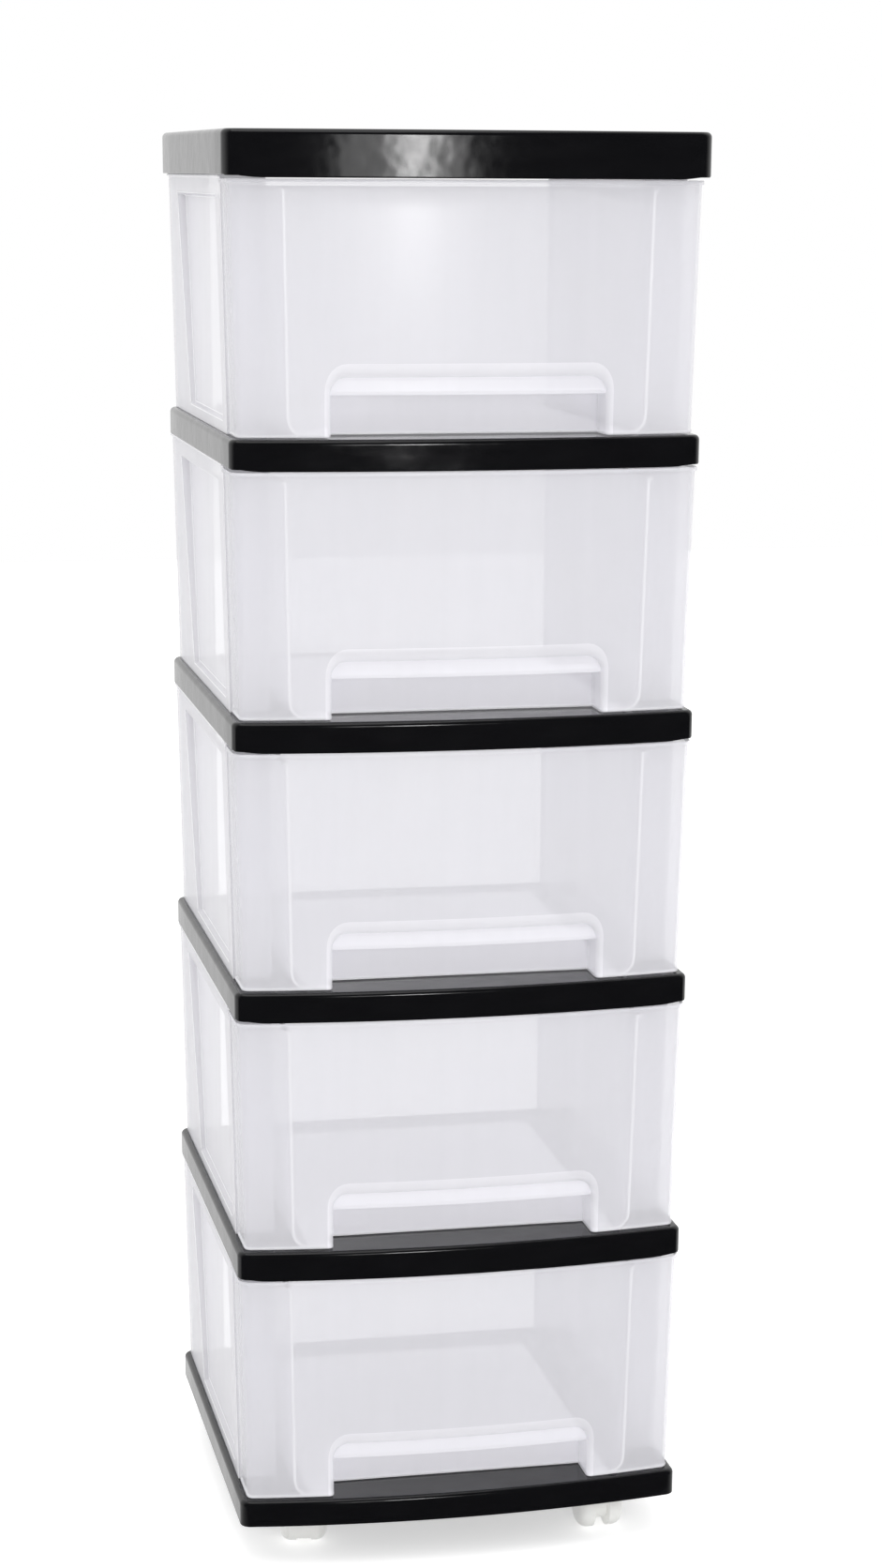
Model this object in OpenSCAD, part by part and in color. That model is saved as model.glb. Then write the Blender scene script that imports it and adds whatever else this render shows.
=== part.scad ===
// Plastic drawer tower: frosted drawers between black trays, under a black lid, on four twin-wheel casters.
// The origin is on the floor, under the middle of the lid. +Z is up and the drawers pull out along -Y.
// The walls of the drawers and side panels are sections, drawn with x measured out from the axis of a corner
// and y as height, and swept along the bowed front, the corners and the straight sides.
// The trays and the lid are hollowed out of a block with the same outline.

/* [Tower] */
// Number of drawers
tiers = 5; // [2:1:6]
// Width of a tray
body_w = 320; // [280:1:360]
// Depth of a tray, to the front of its bow
body_d = 329; // [300:1:380]
// How far the front bows out in the middle
bow = 13; // [8:1:18]
// Height from one tray's top to the next
tier_pitch = 186.5; // [150:0.5:220]
// Plan radius of a tray's corners
corner_r = 8; // [7.5:0.1:9]

/* [Trays] */
// Height of a tray's skirt
skirt_h = 19; // [16:0.5:24]
// Thickness of a tray's walls and deck
tray_wall = 2.4; // [2:0.1:2.8]
// Radius of a tray's rounded top edge
tray_edge_r = 3.5; // [3:0.1:4]
// How far the front skirt of the lid and of the upper trays hangs below its corners
skirt_drop = 1.8; // [1:0.1:2.2]
// Height of the ribs that guide a drawer
guide_h = 3; // [2:0.5:4]

/* [Lid] */
// Height of the lid
lid_h = 28.5; // [26:0.5:34]
// How far the lid stands out past a tray at each side
lid_side = 3; // [2.8:0.1:3.4]
// How far the lid stands out past a tray at the front
lid_front = 4; // [3:0.5:5]

/* [Side panels] */
// Thickness of a side panel
panel_wall = 2; // [1.6:0.1:2.2]
// Depth of the sunk field in a side panel
field_sink = 3.5; // [2.5:0.1:4]
// How far a panel's front and back flanges reach in from the tray's edge
flange_w = 32; // [30:1:33]
// Distance from the front of the bow to the panel's front flange
flange_setback = 57; // [54:1:70]

/* [Drawers] */
// Thickness of a drawer's front
front_wall = 2; // [1.8:0.1:2.4]
// Thickness of a drawer's box
box_wall = 2; // [1.6:0.1:2.2]
// Width of the drawer's box over its rim
box_w = 253; // [250:0.5:254]
// Distance from the back of a tray to the back of a drawer's rim
box_back_gap = 27; // [20:1:60]
// Half width of the finger recess
recess_w = 93; // [70:1:96]
// Height of the finger recess
recess_h = 41; // [38:0.5:50]
// Height of the lip that the fingers pull on
lip_h = 28; // [24:0.5:30]
// Distance from the front of the bow to the back wall of the recess
recess_d = 37; // [34:0.5:44]

/* [Casters] */
// Height of the base skirt above the floor
caster_h = 32; // [32:0.5:36]
// Distance of a caster from the middle of the tower
caster_x = 109; // [95:1:112]
// Distance of the front casters from the front of the bow
caster_front = 50.5; // [45:0.5:60]
// Distance of the back casters from the back of the trays
caster_back = 36.5; // [32:0.5:50]
// Radius of a wheel
wheel_r = 15; // [14:0.1:15]
// Width over a pair of wheels
wheels_w = 34; // [32:0.5:36]
// How far the axle trails behind the stem
trail = 8; // [7:0.5:9]

/* [Hidden] */
$fn = 64;
bow_fn = 1440;
// How far a cut goes past a face, and how far an added part goes into its base.
past = 1;
root = 0.5;

caster_names = ["front_left", "front_right", "back_left", "back_right"];
wheel_sides = ["left", "right"];

black = [0.07, 0.07, 0.08];
frost = [0.90, 0.90, 0.93, 0.6];
clear = [0.87, 0.87, 0.91, 0.5];
milk = [0.93, 0.93, 0.91];
steel = [0.62, 0.62, 0.64];

// Levels above the floor. Tier 1 is the highest drawer.
base_top = caster_h + skirt_h;
clear_h = tier_pitch - skirt_h;
lid_top = base_top + tiers * tier_pitch - skirt_h + lid_h;
function floor_of(tier) = base_top + (tiers - tier) * tier_pitch;

// The footprint. The bow of every tray, drawer and lid has one centre, bow_y.
back_y = (body_d + lid_front) / 2;
front_y = back_y - body_d;
bow_r = (pow(body_w / 2, 2) + bow * bow) / (2 * bow);
bow_y = front_y + bow_r;

// An outline is [half width, radius of the bow, corner radius, back].
tray_line = [body_w / 2, bow_r, corner_r, back_y];
lid_line = [body_w / 2 + lid_side, bow_r + lid_front, corner_r + lid_side, back_y];
front_line = [body_w / 2, bow_r, corner_r + 2.5, back_y];
box_line = [box_w / 2, bow_r, 22, back_y - box_back_gap];

function half_w(line) = line[0];
function line_bow(line) = line[1];
function corner(line) = line[2];
function corner_x(line) = half_w(line) - corner(line);
function front_corner_y(line) = bow_y - sqrt(pow(line_bow(line) - corner(line), 2) - pow(corner_x(line), 2));
function back_corner_y(line) = line[3] - corner(line);
function bow_angle(line) = asin(corner_x(line) / (line_bow(line) - corner(line)));

// ---- Sweeping a section along an outline ----
// Each corner turns a little past its ends, and each run stops just short of the corner, so that they overlap.

seam = 0.45;
overturn = 6;
function run_angle(line) = bow_angle(line) - seam / line_bow(line) * 180 / PI;

module along_bow(line, half_angle) {
    translate([0, bow_y, 0])
        rotate([0, 0, -90 - half_angle])
            rotate_extrude(angle = 2 * half_angle, $fn = bow_fn)
                translate([line_bow(line) - corner(line), 0])
                    children();
}

module round_front_corner(line) {
    translate([corner_x(line), front_corner_y(line), 0])
        rotate([0, 0, bow_angle(line) - 90 - overturn])
            rotate_extrude(angle = 90 - bow_angle(line) + 2 * overturn)
                children();
}

module along_side(line, from_y, to_y) {
    translate([corner_x(line), to_y, 0])
        rotate([90, 0, 0])
            linear_extrude(to_y - from_y)
                children();
}

module round_back_corner(line) {
    translate([corner_x(line), back_corner_y(line), 0])
        rotate([0, 0, -overturn])
            rotate_extrude(angle = 90 + 2 * overturn)
                children();
}

module along_back(line, from_x, to_x) {
    translate([from_x, back_corner_y(line), 0])
        rotate([90, 0, 90])
            linear_extrude(to_x - from_x)
                children();
}

module both_sides() {
    children();
    mirror([1, 0, 0])
        children();
}

// Points along an arc. The bow leaves out its ends, because the corners hold them.
bow_sides = 24;
corner_sides = 8;
function arc_points(centre, r, from, to, ids, n) =
    [for (i = ids) let (a = from + (to - from) * i / n) centre + r * [cos(a), sin(a)]];
function corner_points(centre, r, from, to) = arc_points(centre, r, from, to, [0 : corner_sides], corner_sides);

// An outline in plan, drawn in by inset.
function plan_points(line, inset) =
    let (x = corner_x(line), f = front_corner_y(line), b = back_corner_y(line))
    let (t = bow_angle(line), r = corner(line) - inset)
    concat(
        arc_points([0, bow_y], line_bow(line) - inset, -90 - t, -90 + t, [1 : bow_sides - 1], bow_sides),
        corner_points([x, f], r, t - 90, 0),
        corner_points([x, b], r, 0, 90),
        corner_points([-x, b], r, 90, 180),
        corner_points([-x, f], r, 180, 270 - t)
    );

module prism(line, inset, low, top) {
    translate([0, 0, low])
        linear_extrude(top - low)
            polygon(plan_points(line, inset));
}

// ---- Trays and lid ----

// The solid block of a tray or lid under z = 0, with a rounded top edge.
module block(line, depth) {
    hull()
        for (a = [0 : 22.5 : 90])
            prism(line, tray_edge_r * (1 - cos(a)), -depth, tray_edge_r * (sin(a) - 1));
}

// A deck with a skirt all round, hanging down from z = 0. Along the front the skirt hangs lower by drop.
drop_x = body_w / 2 - 12;
module shell(line, h, drop) {
    depth = h + drop;
    difference() {
        block(line, depth);
        prism(line, tray_wall, -depth - past, -tray_wall);
        if (drop > 0) {
            translate([-body_w, front_corner_y(line), -depth - past])
                cube([2 * body_w, body_d, drop + past]);
            both_sides()
                translate([drop_x, front_y - bow, -depth - past])
                    cube([body_w / 2, body_d, drop + past]);
        }
    }
}

// Where a side panel's hooks go through the deck.
hook_l = 10;
hook_y = [front_y + flange_setback + 16, back_y - 60];
hook_gap = 0.3;
panel_foot_in = 4.5;
panel_foot_x = body_w / 2 - panel_foot_in;
module hook_slots() {
    for (y = hook_y)
        both_sides()
            translate([panel_foot_x - panel_wall - hook_gap, y - hook_gap, -tray_wall - past])
                cube([panel_wall + 2 * hook_gap, hook_l + 2 * hook_gap, tray_wall + 2 * past]);
}

guide_w = 2;
guide_x = box_w / 2 - 2.5;
guide_front = front_y + flange_setback + 6;
guide_back = back_y - 14;
module guides() {
    both_sides()
        translate([guide_x, guide_front, -past])
            cube([guide_w, guide_back - guide_front, guide_h + past]);
}

module tray_shell(drop) {
    difference() {
        union() {
            shell(tray_line, skirt_h, drop);
            guides();
        }
        hook_slots();
    }
}

module tray(tier) {
    color(black)
        translate([0, 0, floor_of(tier)])
            tray_shell(skirt_drop);
}

// The lid's skirt is double, because its inner wall stands on the side panels.
// The inner wall is open at the back corners, where the tongues of the panels go up.
seat_in = lid_side + 0.4;
seat_wall = 2;
seat_gap = 2;
module lid_seat() {
    difference() {
        prism(lid_line, seat_in, -lid_h, -tray_wall / 2);
        prism(lid_line, seat_in + seat_wall, -lid_h - past, past);
        both_sides()
            translate([body_w / 2 - flange_w - seat_gap, back_corner_y(lid_line) - seat_gap, -lid_h - past])
                cube([body_w, body_d, lid_h - tray_wall + past]);
    }
}

module lid() {
    color(black)
        translate([0, 0, lid_top]) {
            shell(lid_line, lid_h, skirt_drop);
            lid_seat();
        }
}

// ---- Base tray and its caster sockets ----

stem_r = 3;
stem_fit = 0.05;
collar_h = 1;
boss_r = 8;
boss_z = caster_h + 3;
socket_top = base_top - tray_wall - 1.5;

function caster_at(k) = [
    (k % 2 == 0 ? -1 : 1) * caster_x,
    k < 2 ? front_y + caster_front : back_y - caster_back,
    0
];

module base_tray() {
    color(black)
        difference() {
            union() {
                translate([0, 0, base_top])
                    tray_shell(0);
                for (k = [0 : 3])
                    translate(caster_at(k) + [0, 0, boss_z])
                        cylinder(r = boss_r, h = base_top - tray_wall - boss_z + root);
            }
            for (k = [0 : 3])
                translate(caster_at(k) + [0, 0, boss_z - past])
                    cylinder(r = stem_r + stem_fit, h = socket_top - boss_z + past);
        }
}

// ---- Side panels ----

lip_t = 1.8;
tongue_h = 9;
tongue_t = 2;
tongue_gap = 0.5;
lip_in = 1.4;
foot_out = corner_r - panel_foot_in;
head_out = corner_r - 1.5;
band_h = 14;
flange_y = front_y + flange_setback;
flange_x = body_w / 2 - flange_w;

// A panel's wall leans out to its top flange, and its tongue goes up inside the skirt above.
module panel_section() {
    wall_h = clear_h - lip_t;
    polygon([
        [foot_out - panel_wall, 0],
        [foot_out, 0],
        [head_out, wall_h],
        [head_out - panel_wall, wall_h]
    ]);
    translate([head_out - panel_wall - lip_in, wall_h - root])
        square([corner_r - head_out + panel_wall + lip_in, lip_t + root]);
    translate([corner_r - tray_wall - tongue_gap - tongue_t, clear_h - root])
        square([tongue_t, tongue_h + root]);
}

// The sunk field, seen from the side: its back border slants with the panel's back column.
field_low = 9;
field_front = [flange_y + 17, flange_y + 24];
field_back = [back_y - 92, back_y - 54];
module field(grow) {
    top = clear_h - band_h;
    polygon([
        [field_front[0] - grow, field_low - grow],
        [field_back[0] + grow, field_low - grow],
        [field_back[1] + grow, top + grow],
        [field_front[1] - grow, top + grow]
    ]);
}

// A block with the field's outline, from x0 to x1.
module field_block(x0, x1, grow) {
    translate([x0, 0, 0])
        rotate([90, 0, 90])
            linear_extrude(x1 - x0)
                field(grow);
}

field_x = corner_x(tray_line) + foot_out - field_sink;
field_border = 1.8;
module panel_flange() {
    top_x = corner_x(tray_line) + head_out - panel_wall;
    translate([0, flange_y + panel_wall, 0])
        rotate([90, 0, 0])
            linear_extrude(panel_wall)
                polygon([
                    [flange_x, 0],
                    [corner_x(tray_line) + foot_out - 1, 0],
                    [top_x + 1, clear_h - lip_t],
                    [top_x + 1, clear_h],
                    [flange_x, clear_h]
                ]);
}

module panel_hooks() {
    for (y = hook_y)
        translate([panel_foot_x - panel_wall, y, -tray_wall - 2])
            cube([panel_wall, hook_l, tray_wall + 4]);
}

// The right-hand panel of a tier, standing on z = 0.
module panel_shell() {
    difference() {
        union() {
            along_side(tray_line, flange_y, back_corner_y(tray_line) - seam)
                panel_section();
            round_back_corner(tray_line)
                panel_section();
            along_back(tray_line, flange_x, corner_x(tray_line) - seam)
                panel_section();
            panel_flange();
            field_block(field_x - panel_wall, corner_x(tray_line) + foot_out, field_border);
        }
        field_block(field_x, body_w / 2 + past, 0);
    }
    panel_hooks();
}

module side_panel(side, tier) {
    color(clear)
        translate([0, 0, floor_of(tier)])
            mirror([side == "left" ? 1 : 0, 0, 0])
                panel_shell();
}

// ---- Drawers ----

foot_gap = 0.8;
rim_t = 3;
front_top = clear_h - skirt_drop - 0.5;
lean_out = 8.5;
lean_foot = 5;
rim_out = 1.5;

// The drawer's front leans back toward its foot and has a flange along its top.
module front_section() {
    wall_h = front_top - rim_t;
    polygon([
        [lean_foot - front_wall, foot_gap],
        [lean_foot, foot_gap],
        [lean_out, wall_h],
        [lean_out + rim_out, wall_h],
        [lean_out + rim_out, front_top],
        [lean_out - front_wall, front_top],
        [lean_out - front_wall, wall_h]
    ]);
}

return_y = flange_y - 1.5;
module drawer_front() {
    along_bow(front_line, run_angle(front_line))
        front_section();
    both_sides() {
        round_front_corner(front_line)
            front_section();
        along_side(front_line, front_corner_y(front_line) + seam, return_y)
            front_section();
    }
}

box_rim = 2;
box_out = corner(box_line) - box_rim;
box_top = front_top - rim_t - 3;
box_foot = box_out - 2.5;
box_foot_r = 12;

module box_outer(wall, top) {
    r = box_foot_r - wall;
    y0 = foot_gap + wall;
    polygon([
        [-past, y0],
        [box_foot - box_foot_r, y0],
        [box_foot - wall, foot_gap + box_foot_r],
        [box_out - wall, top],
        [-past, top]
    ]);
    translate([box_foot - box_foot_r, foot_gap + box_foot_r])
        circle(r);
}

// The box's wall has a rounded foot, leans out to its rim, and joins the floor.
module box_section() {
    intersection() {
        square([corner(box_line) + past, box_top]);
        union() {
            difference() {
                box_outer(0, box_top);
                box_outer(box_wall, box_top + past);
            }
            translate([box_out - box_wall / 2, box_top - box_rim])
                square([box_wall / 2 + box_rim, box_rim]);
        }
    }
}

// The space behind the middle of the drawer's front wall: a cone, because the wall leans.
module behind_front() {
    mid_r = bow_r - corner(front_line) - front_wall / 2;
    lean = (lean_out - lean_foot) * (front_top - foot_gap) / (front_top - rim_t - foot_gap);
    translate([0, bow_y, foot_gap])
        cylinder(r1 = mid_r + lean_foot, r2 = mid_r + lean_foot + lean, h = front_top - foot_gap, $fn = bow_fn);
}

module drawer_box() {
    intersection() {
        union() {
            both_sides() {
                along_side(box_line, front_y, back_corner_y(box_line) - seam)
                    box_section();
                round_back_corner(box_line)
                    box_section();
            }
            along_back(box_line, seam - corner_x(box_line), corner_x(box_line) - seam)
                box_section();
            translate([-corner_x(box_line) - past, front_y, foot_gap])
                cube([2 * corner_x(box_line) + 2 * past, back_corner_y(box_line) - front_y + past, box_wall]);
        }
        behind_front();
    }
}

// The finger recess: an arch sunk to a lip, and a pocket that goes back under the lip.
arch_r = 12;
lip_setback = 10.5;
recess_back = front_y + recess_d;
module arch(grow) {
    w = recess_w + grow;
    top = recess_h + grow;
    r = arch_r + grow;
    translate([-w, -past])
        square([2 * w, top - r + past]);
    translate([r - w, -past])
        square([2 * (w - r), top + past]);
    for (x = [r - w, w - r])
        translate([x, top - r])
            circle(r);
}

// A block with the arch's outline, in front of the lip's bowed face.
module arch_block(grow, setback) {
    difference() {
        translate([0, recess_back, 0])
            rotate([90, 0, 0])
                linear_extrude(recess_d + 2 * past)
                    arch(grow);
        translate([0, bow_y, -2 * past])
            cylinder(r = bow_r - setback, h = clear_h, $fn = bow_fn);
    }
}

module pocket_block(grow, low, top) {
    w = recess_w + grow;
    translate([-w, front_y - past, low])
        cube([2 * w, recess_back - front_y + past + grow, top - low + grow]);
}

lip_ceiling = lip_h + 3;
module recess_walls() {
    intersection() {
        union() {
            arch_block(box_wall, lip_setback + box_wall);
            pocket_block(box_wall, foot_gap, lip_ceiling);
        }
        behind_front();
    }
}

module recess_space() {
    arch_block(0, lip_setback);
    pocket_block(0, -past, lip_h);
    difference() {
        pocket_block(0, -past, lip_ceiling);
        translate([0, bow_y, -2 * past])
            difference() {
                cylinder(r = 2 * bow_r, h = clear_h, $fn = bow_fn);
                translate([0, 0, -past])
                    cylinder(r = bow_r - lip_setback - box_wall, h = clear_h + 2 * past, $fn = bow_fn);
            }
    }
}

module drawer(tier) {
    color(frost)
        translate([0, 0, floor_of(tier)])
            difference() {
                union() {
                    drawer_front();
                    drawer_box();
                    recess_walls();
                }
                recess_space();
            }
}

// ---- Casters ----

axle_z = wheel_r;
axle_r = 2;
axle_l = wheels_w - 2;
axle_end_gap = 0.2;
hub_r = 4.8;
hood_gap = 0.8;
hood_t = 2;
hood_w = 22;
hood_r = wheel_r + hood_gap + hood_t;
cap_gap = 0.3;
hub_top = boss_z - collar_h - cap_gap;
stem_foot = 12;
stem_end_gap = 0.5;
collar_r = 5;
web_r = 9;
cheek_r = 8;
wheel_in = hub_r + 0.6;
run_fit = 0.05;
axle_fit = 0.02;

// How far each hood is turned about its stem. The front left wheels point back and the others forward.
caster_turn = [-8, 183, 170, 192];

module at_caster(k) {
    translate(caster_at(k))
        rotate([0, 0, caster_turn[k]])
            children();
}

module caster_stem(k) {
    color(steel)
        at_caster(k) {
            translate([0, 0, stem_foot])
                cylinder(r = stem_r, h = socket_top - stem_end_gap - stem_foot);
            translate([0, 0, boss_z - collar_h])
                cylinder(r = collar_r, h = collar_h);
        }
}

// The sector of the hood's circle that the hood covers, seen from the side.
hood_sector = [[0, 0], [-30, -16], [-30, 30], [14, 30]];
module hood_disc() {
    intersection() {
        circle(hood_r);
        polygon(hood_sector);
    }
}

// The side view of the hood's web, which carries the axle and the hub.
module web_outline() {
    hood_disc();
    circle(web_r);
}

module fender_outline() {
    difference() {
        hood_disc();
        circle(hood_r - hood_t);
    }
}

// Extrudes a side view, drawn round the axle, across the caster.
module across(w) {
    translate([-w / 2, trail, axle_z])
        rotate([90, 0, 90])
            linear_extrude(w)
                children();
}

module caster_hood(k) {
    color(milk)
        at_caster(k)
            difference() {
                union() {
                    across(2 * hub_r)
                        web_outline();
                    across(hood_w)
                        fender_outline();
                    translate([0, 0, axle_z])
                        cylinder(r = hub_r, h = hub_top - axle_z);
                }
                translate([0, 0, stem_foot - cap_gap])
                    cylinder(r = stem_r + run_fit, h = hub_top);
                across(4 * hub_r)
                    circle(axle_r + axle_fit);
            }
}

module caster_axle(k) {
    color(steel)
        at_caster(k)
            translate([-axle_l / 2, trail, axle_z])
                rotate([0, 90, 0])
                    cylinder(r = axle_r, h = axle_l);
}

// Half the section of a wheel, with x from its axle out and y across its width.
module wheel_section() {
    w = wheels_w / 2 - wheel_in;
    difference() {
        union() {
            square([wheel_r, w - cheek_r]);
            square([wheel_r - cheek_r, w]);
            intersection() {
                translate([wheel_r - cheek_r, w - cheek_r])
                    circle(cheek_r);
                square([wheel_r, w]);
            }
        }
        translate([-past, -past])
            square([axle_r + run_fit + past, axle_l / 2 + axle_end_gap - wheel_in + past]);
    }
}

module wheel(k, side) {
    color(milk)
        at_caster(k)
            mirror([side == "left" ? 1 : 0, 0, 0])
                translate([wheel_in, trail, axle_z])
                    rotate([0, 90, 0])
                        rotate_extrude()
                            wheel_section();
}

// ---- Assembly ----

lid();
base_tray();
for (i = [1 : tiers - 1])
    tray(i);
for (side = wheel_sides, i = [1 : tiers])
    side_panel(side, i);
for (i = [1 : tiers])
    drawer(i);
for (k = [0 : 3]) {
    caster_stem(k);
    caster_hood(k);
    caster_axle(k);
}
for (k = [0 : 3], side = wheel_sides)
    wheel(k, side);
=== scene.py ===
# %% [markdown]
# # A plastic drawer tower
#
# Five frosted drawers stand between glossy black trays, under a black lid, on four twin-wheel casters.
# Every part is a thin injection moulding, so nearly every shape here is one thin wall that follows an
# outline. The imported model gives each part's place and size, and this script gives the parts their looks.

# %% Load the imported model
import math

import bmesh
import bpy
from mathutils import Matrix, Vector


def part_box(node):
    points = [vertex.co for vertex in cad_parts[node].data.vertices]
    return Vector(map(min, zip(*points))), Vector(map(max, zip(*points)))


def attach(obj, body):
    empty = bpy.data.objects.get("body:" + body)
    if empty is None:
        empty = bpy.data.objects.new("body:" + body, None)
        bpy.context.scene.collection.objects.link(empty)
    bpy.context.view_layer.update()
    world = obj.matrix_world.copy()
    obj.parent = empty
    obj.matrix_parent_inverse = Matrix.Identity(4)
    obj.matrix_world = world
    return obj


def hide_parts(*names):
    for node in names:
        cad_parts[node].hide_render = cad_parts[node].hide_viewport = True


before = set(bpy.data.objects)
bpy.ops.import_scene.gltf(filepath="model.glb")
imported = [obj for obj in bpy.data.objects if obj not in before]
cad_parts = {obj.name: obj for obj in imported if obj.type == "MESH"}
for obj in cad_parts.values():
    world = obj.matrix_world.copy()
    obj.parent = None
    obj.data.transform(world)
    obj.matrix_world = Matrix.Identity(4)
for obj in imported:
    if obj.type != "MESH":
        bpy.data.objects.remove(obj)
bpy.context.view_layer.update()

# %% [markdown]
# ## Sizes
#
# All sizes are in millimetres, and MM turns them into Blender's metres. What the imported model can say,
# such as the height of each drawer's floor, is read from the boxes of its nodes. The other values are
# the wall thicknesses and radii that a moulder would set.

# %% Sizes from the frame
MM = 0.001
TIERS = 5
SIDES = {"left": -1, "right": 1}


def box_mm(node):
    low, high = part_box(node)
    return low / MM, high / MM


FOOT_GAP = 0.8
BOW = 13.0
tray_low, tray_high = box_mm("tray_1")
lid_low, lid_high = box_mm("lid")
floor_z = {tier: box_mm(f"drawer_{tier}")[0].z - FOOT_GAP for tier in range(1, TIERS + 1)}
HALF_W = tray_high.x
FRONT_Y = tray_low.y
BACK_Y = tray_high.y
BOW_R = (HALF_W**2 + BOW**2) / (2 * BOW)
BOW_Y = FRONT_Y + BOW_R
DROP = 1.8
SKIRT_H = floor_z[1] - tray_low.z - DROP
CLEAR_H = floor_z[1] - floor_z[2] - SKIRT_H
LID_H = lid_high.z - lid_low.z - DROP
print("half width", HALF_W, "skirt", SKIRT_H, "between trays", CLEAR_H, "lid", LID_H)

# %% [markdown]
# ## The camera
#
# The camera stands where the photographer stood, a little above the lid and left of the middle. The
# picture's vanishing point lies below its centre, as in a picture that was cropped, and the lens shift
# puts it there.

# %% Camera
IMAGE_H = 1672
FOCAL_PX = 3448.5
CENTRE_BELOW_PX = 264
CAMERA_AT = Vector((-462.8, -2268.9, 967.8)) * MM
YAW, PITCH, ROLL = (math.radians(a) for a in (11.886, 14.915, -0.333))
SENSOR = 36.0


def make_camera():
    ahead = Vector((math.sin(YAW) * math.cos(PITCH), math.cos(YAW) * math.cos(PITCH), -math.sin(PITCH)))
    level = Vector((math.cos(YAW), -math.sin(YAW), 0))
    down = ahead.cross(level)
    right = level * math.cos(ROLL) + down * math.sin(ROLL)
    up = level * math.sin(ROLL) - down * math.cos(ROLL)
    camera = bpy.data.objects.new("camera", bpy.data.cameras.new("camera"))
    camera.data.sensor_width = SENSOR
    camera.data.lens = FOCAL_PX / IMAGE_H * SENSOR
    camera.data.shift_y = CENTRE_BELOW_PX / IMAGE_H
    turn = Matrix((right, up, -ahead)).transposed()
    camera.matrix_world = Matrix.Translation(CAMERA_AT) @ turn.to_4x4()
    bpy.context.scene.collection.objects.link(camera)
    bpy.context.scene.camera = camera
    return camera


camera = make_camera()
print("lens", round(camera.data.lens, 2), "mm")

# %% [markdown]
# ## Outlines in plan
#
# A tray, a drawer's front and the lid share one plan: a front that bows out on a large radius, round
# corners, and straight sides and back. A station is a spot on that plan, given as the point on the
# corner's axis and the way out. A wall section is then drawn once, as distance out and height, and is
# carried from station to station. A curve with a bevel object could do this too, but stations let the
# section change on the way.


# %% Outline
BOW_STEPS = 64
SIDE_STEPS = 6
CORNER_STEPS = 10
TRAY_CORNER = 8
LID_CORNER = 11
FRONT_CORNER = 10.5
BOX_CORNER = 22
BOX_HALF_W = 126.5
BOX_BACK_GAP = 27


def arc(centre, radius, start, end, count):
    """Stations along an arc, from one angle to another in degrees."""
    made = []
    for i in range(count + 1):
        a = math.radians(start + (end - start) * i / count)
        way = (math.cos(a), math.sin(a))
        made.append((centre[0] + radius * way[0], centre[1] + radius * way[1], *way))
    return made


def straight(start, end, way, count):
    """Stations along a straight run."""
    shares = [i / count for i in range(count + 1)]
    return [(start[0] + (end[0] - start[0]) * s, start[1] + (end[1] - start[1]) * s, *way) for s in shares]


class Outline:
    """A bowed front, round corners, and straight sides and back."""

    def __init__(self, half, bow_r, corner, back):
        self.x = half - corner
        self.corner = corner
        self.bow_r = bow_r - corner
        self.front = BOW_Y - math.sqrt(self.bow_r**2 - self.x**2)
        self.back = back - corner
        self.turn = math.degrees(math.asin(self.x / self.bow_r))

    def all_round(self, steps):
        """Stations all the way round, from the left end of the front."""
        x, t = self.x, self.turn
        runs = [
            arc((0, BOW_Y), self.bow_r, -90 - t, -90 + t, BOW_STEPS),
            arc((x, self.front), 0, t - 90, 0, steps),
            straight((x, self.front), (x, self.back), (1, 0), SIDE_STEPS),
            arc((x, self.back), 0, 0, 90, steps),
            straight((x, self.back), (-x, self.back), (0, 1), SIDE_STEPS),
            arc((-x, self.back), 0, 90, 180, steps),
            straight((-x, self.back), (-x, self.front), (-1, 0), SIDE_STEPS),
            arc((-x, self.front), 0, 180, 270 - t, steps),
        ]
        return [station for run in runs for station in run[:-1]]


def placed(station, out, z):
    """The point at a station that is so far out from the corner's axis, and so high."""
    return (station[0] + station[2] * out, station[1] + station[3] * out, z)


tray_line = Outline(HALF_W, BOW_R, TRAY_CORNER, BACK_Y)
lid_line = Outline(lid_high.x, BOW_R + FRONT_Y - lid_low.y, LID_CORNER, lid_high.y)
front_line = Outline(HALF_W, BOW_R, FRONT_CORNER, BACK_Y)
box_line = Outline(BOX_HALF_W, BOW_R, BOX_CORNER, BACK_Y - BOX_BACK_GAP)
print("the bow turns", round(2 * tray_line.turn, 1), "degrees")

# %% [markdown]
# ## From points to meshes
#
# A skin is a grid of points joined by four-sided faces. Skins that share an edge are welded, and a
# solidify step turns the open sheet into a wall with two sides. A small bevel then rounds the edges,
# because a moulded edge is never sharp and its bright line is what tells the eye that it is plastic.


# %% Mesh helpers
def skin(bm, rows, close_rows=False, close_columns=False):
    """Faces between rows of points. The points are in millimetres."""
    verts = [[bm.verts.new(Vector(point) * MM) for point in row] for row in rows]
    for i in range(len(rows) - (not close_rows)):
        near, far = verts[i], verts[(i + 1) % len(rows)]
        for j in range(len(near) - (not close_columns)):
            k = (j + 1) % len(near)
            bm.faces.new((near[j], far[j], far[k], near[k]))
    return verts


def lathe(bm, centre, profile, steps=32):
    """A solid of revolution about a vertical axis, from a closed profile of (radius, z)."""
    rows = []
    for station in arc(centre, 0, 0, 360, steps)[:-1]:
        rows.append([placed(station, r, z) for r, z in profile])
    skin(bm, rows, close_rows=True, close_columns=True)


def bar(bm, low, high):
    """A block with its corners at low and high."""
    made = bmesh.ops.create_cube(bm, size=1)["verts"]
    middle = (Vector(low) + Vector(high)) / 2
    size = Vector(high) - Vector(low)
    for vert in made:
        vert.co = (middle + Vector(a * b for a, b in zip(vert.co, size))) * MM


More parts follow.
